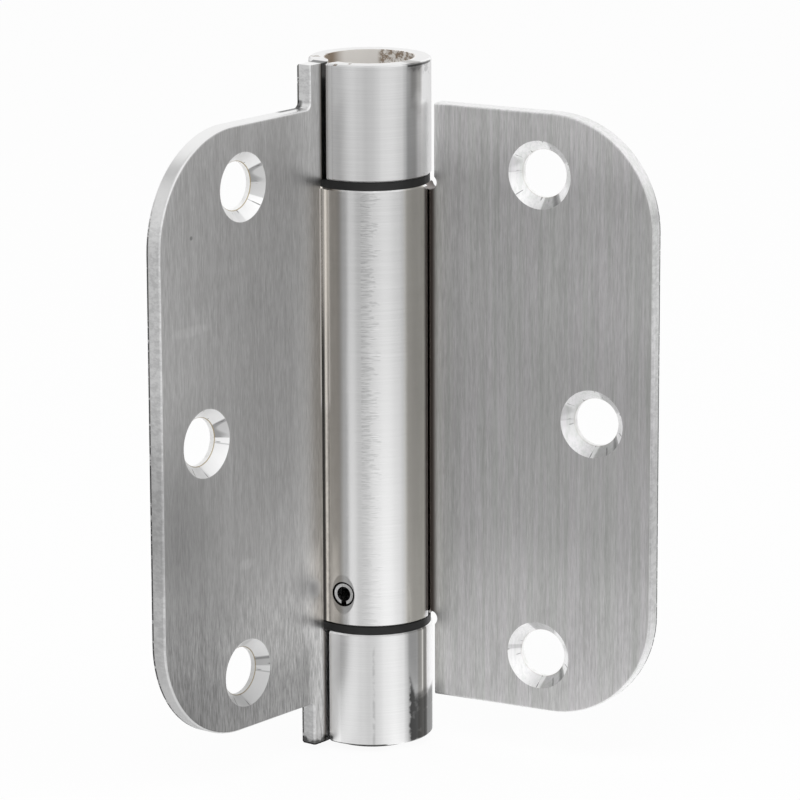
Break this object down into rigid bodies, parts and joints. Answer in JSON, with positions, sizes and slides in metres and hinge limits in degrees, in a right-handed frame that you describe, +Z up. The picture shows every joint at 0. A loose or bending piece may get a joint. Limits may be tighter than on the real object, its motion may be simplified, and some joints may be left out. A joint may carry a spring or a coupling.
{
  "type": "spring loaded door hinge",
  "caption": "Self-closing butt hinge: two rounded sheet leaves rolled into a barrel that holds a torsion spring with an adjustable tension.",
  "frame": {"origin": "on the pin line, at the underside of the plug that closes the foot of the barrel", "axes": "+Z up the pin line; the frame leaf lies along -X with its countersunk face towards -Y and its back towards +Y"},
  "size_m": [0.0564, 0.053, 0.1024],
  "materials": {
    "satin_nickel": "satin nickel over steel, brushed",
    "black_nylon": "moulded black nylon",
    "plain_steel": "turned steel",
    "pin_steel": "ground steel",
    "spring_steel": "oiled spring steel"
  },
  "bodies": {
    "frame_side": {"frame_leaf": "satin_nickel", "lower_bearing_bush": "black_nylon", "bottom_end_plug": "black_nylon"},
    "door_side": {"door_leaf": "satin_nickel", "upper_bearing_bush": "black_nylon", "anchor_plug": "plain_steel", "roll_pin": "pin_steel", "torsion_spring": "spring_steel"},
    "adjuster": {"tension_adjuster": "plain_steel"},
    "pin": {"tension_pin": "pin_steel"}
  },
  "joints": [
    {"name": "leaf_swing", "type": "hinge", "parent": "frame_side", "child": "door_side", "pos_m": [0, 0, 0.05165], "axis": [0, 0, 1], "range_deg": [-99.5, 80.5], "stiffness_Nm_per_rad": 0.6, "deforming": ["torsion_spring"]},
    {"name": "adjuster_turn", "type": "hinge", "parent": "frame_side", "child": "adjuster", "pos_m": [0, 0, 0.092], "axis": [0, 0, 1], "range_deg": [-48, 0], "deforming": ["torsion_spring"]},
    {"name": "tension_pin_pull", "type": "slide", "parent": "adjuster", "child": "pin", "axis": [0.9135, 0.4067, 0], "range_m": [0, 0.0065]}
  ]
}
